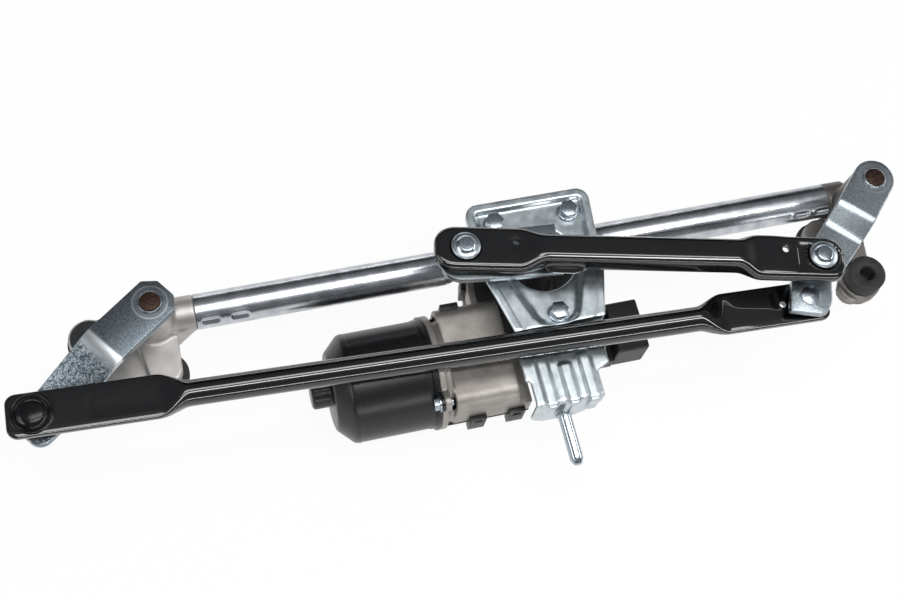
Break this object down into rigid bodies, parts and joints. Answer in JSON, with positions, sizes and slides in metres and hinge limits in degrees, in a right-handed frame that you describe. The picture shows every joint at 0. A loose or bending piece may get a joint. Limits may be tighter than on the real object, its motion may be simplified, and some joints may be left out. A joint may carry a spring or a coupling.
{
  "type": "wiper linkage",
  "caption": "Car wiper linkage: motor with gearbox on a bracket, steel tube between cast pivot housings, and a motor crank that swings both wiper spindles through ball-jointed links.",
  "frame": {"origin": "on the left wiper spindle axis, at the seat of its wiper arm", "axes": "+X along the frame tube from the left pivot to the right one; +Z along the spindles, from the wiper arms to the cranks; +Y across, away from the motor"},
  "size_m": [0.5346, 0.1575, 0.1146],
  "materials": {
    "galvanised_tube": "glossy galvanised, drawn",
    "cast_aluminium": "die cast, fine matt",
    "gearbox_aluminium": "die cast, matt warm grey",
    "rubber": "matt moulded",
    "bronze": "sintered",
    "bright_steel": "turned and plated",
    "spindle_steel": "hardened, dark brown",
    "zinc_plate": "zinc plated, grainy blue-grey",
    "black_coat": "gloss black dipped coat",
    "yoke_black": "satin black",
    "black_plastic": "fine matt moulded",
    "socket_plastic": "smooth moulded",
    "gear_plastic": "moulded, off-white",
    "ferrite": "pressed, dull grey",
    "core_steel": "stacked sheet",
    "copper": "enamelled wire and bars",
    "carbon": "pressed carbon"
  },
  "bodies": {
    "frame": {"frame_tube": "galvanised_tube", "left_pivot_housing": "cast_aluminium", "right_pivot_housing": "cast_aluminium", "left_grommets": "rubber", "right_grommets": "rubber", "left_bushes": "bronze", "right_bushes": "bronze", "left_washers": "bright_steel", "right_washers": "bright_steel", "motor_bracket": "zinc_plate", "locating_pin": "bright_steel", "bracket_bolts": "bright_steel", "gear_housing": "gearbox_aluminium", "splash_plate": "black_plastic", "shaft_cap": "rubber", "output_bush": "bronze", "gear_cover": "black_plastic", "connector_housing": "black_plastic", "connector_terminals": "copper", "motor_yoke": "yoke_black", "yoke_screws": "bright_steel", "magnets": "ferrite", "armature_bushes": "bronze", "brush_card": "black_plastic", "brushes": "carbon"},
    "motor_output": {"worm_wheel": "gear_plastic", "contact_disc": "copper", "output_shaft": "bright_steel", "motor_crank": "zinc_plate", "crank_nut": "bright_steel", "motor_ball_rivet": "bright_steel"},
    "armature": {"armature_shaft": "bright_steel", "armature_core": "core_steel", "armature_windings": "copper", "commutator": "copper"},
    "right_arm": {"right_crank_arm": "zinc_plate", "right_spindle": "spindle_steel", "right_clip": "bright_steel", "drive_ball_pin": "bright_steel", "right_tandem_ball_pin": "bright_steel"},
    "drive_link": {"drive_link": "black_coat", "drive_link_sockets": "socket_plastic", "motor_ball_pin": "bright_steel"},
    "tandem_link": {"tandem_link": "black_coat", "left_tandem_socket": "socket_plastic", "right_tandem_socket": "socket_plastic", "left_tandem_ball_pin": "bright_steel"},
    "left_arm": {"left_crank_arm": "zinc_plate", "left_spindle": "spindle_steel", "left_clip": "bright_steel", "left_ball_rivet": "bright_steel"}
  },
  "joints": [
    {"name": "motor_crank_turn", "type": "hinge", "parent": "frame", "child": "motor_output", "pos_m": [0.2272, -0.0135, 0.065], "axis": [0, 0, 1], "range_deg": [0, 173.57]},
    {"name": "armature_spin", "type": "hinge", "parent": "frame", "child": "armature", "pos_m": [0.1372, -0.0541, 0.0095], "axis": [1, 0, 0], "continuous": true},
    {"name": "right_spindle_swing", "type": "hinge", "parent": "frame", "child": "right_arm", "pos_m": [0.4348, -0.0093, 0.05], "axis": [0, 0, 1], "range_deg": [-0.01, 92.07]},
    {"name": "left_spindle_swing", "type": "hinge", "parent": "frame", "child": "left_arm", "pos_m": [0, 0, 0.04], "axis": [0, 0, 1], "range_deg": [-0.01, 91.76]},
    {"name": "drive_link_swing", "type": "hinge", "parent": "right_arm", "child": "drive_link", "pos_m": [0.38203, -0.05469, 0.083], "axis": [0, 0, 1], "range_deg": [-90.18, 0.01]},
    {"name": "tandem_link_swing", "type": "hinge", "parent": "right_arm", "child": "tandem_link", "pos_m": [0.37372, -0.07167, 0.055], "axis": [0, 0, 1], "range_deg": [-89.27, 0.01]}
  ],
  "couplings": [
    {"joint": "armature_spin", "follows": "motor_crank_turn", "ratio": 54},
    {"joint": "right_spindle_swing", "follows": "motor_crank_turn", "ratio": 0.53038},
    {"joint": "left_spindle_swing", "follows": "motor_crank_turn", "ratio": 0.52858},
    {"joint": "drive_link_swing", "follows": "motor_crank_turn", "ratio": -0.51948},
    {"joint": "tandem_link_swing", "follows": "motor_crank_turn", "ratio": -0.51424}
  ]
}
